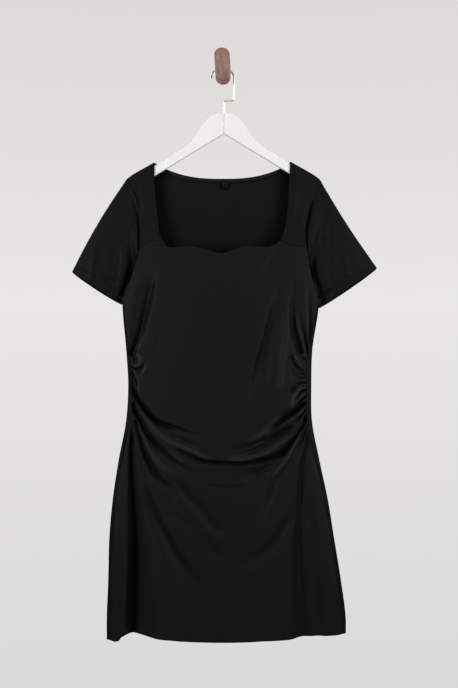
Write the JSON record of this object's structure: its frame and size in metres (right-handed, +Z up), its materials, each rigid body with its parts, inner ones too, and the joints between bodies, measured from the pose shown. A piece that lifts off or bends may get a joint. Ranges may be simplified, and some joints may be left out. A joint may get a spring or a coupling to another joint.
{
  "type": "a-line mini dress on a hanger and wall hook",
  "caption": "Black short-sleeved a-line mini dress with a square sweetheart neckline and ruched side seams, on a white wooden hanger that hangs from a brown wooden wall hook.",
  "frame": {"origin": "centre of the wall hook's flat back face, on the wall", "axes": "+Z up, -Y out from the wall towards the viewer, so the front of the dress faces -Y, and +X to the viewer's right"},
  "size_m": [0.611, 0.0663, 1.1824],
  "materials": {
    "jersey_front": "smooth matt black stretch jersey",
    "jersey_back": "smooth matt black stretch jersey",
    "jersey_strap_left": "smooth matt black stretch jersey",
    "jersey_strap_right": "smooth matt black stretch jersey",
    "jersey_sleeve_left": "smooth matt black stretch jersey",
    "jersey_sleeve_right": "smooth matt black stretch jersey",
    "neck_tape": "black binding tape",
    "label": "blank black satin label",
    "hanger_paint_left": "white painted wood, satin",
    "hanger_paint_right": "white painted wood, satin",
    "wire": "pale gold plated steel wire",
    "hook_plate_wood": "brown wood, satin",
    "hook_neck_wood": "brown wood, satin",
    "hook_knob_wood": "brown wood, satin"
  },
  "bodies": {
    "root": {"front_panel": "jersey_front", "back_panel": "jersey_back", "front_strap_left": "jersey_strap_left", "front_strap_right": "jersey_strap_right", "sleeve_left": "jersey_sleeve_left", "sleeve_right": "jersey_sleeve_right", "neck_binding": "neck_tape", "neck_label": "label", "hanger_arm_left": "hanger_paint_left", "hanger_arm_right": "hanger_paint_right", "hanger_hook": "wire", "wall_hook_plate": "hook_plate_wood", "wall_hook_neck": "hook_neck_wood", "wall_hook_knob": "hook_knob_wood"}
  },
  "joints": []
}
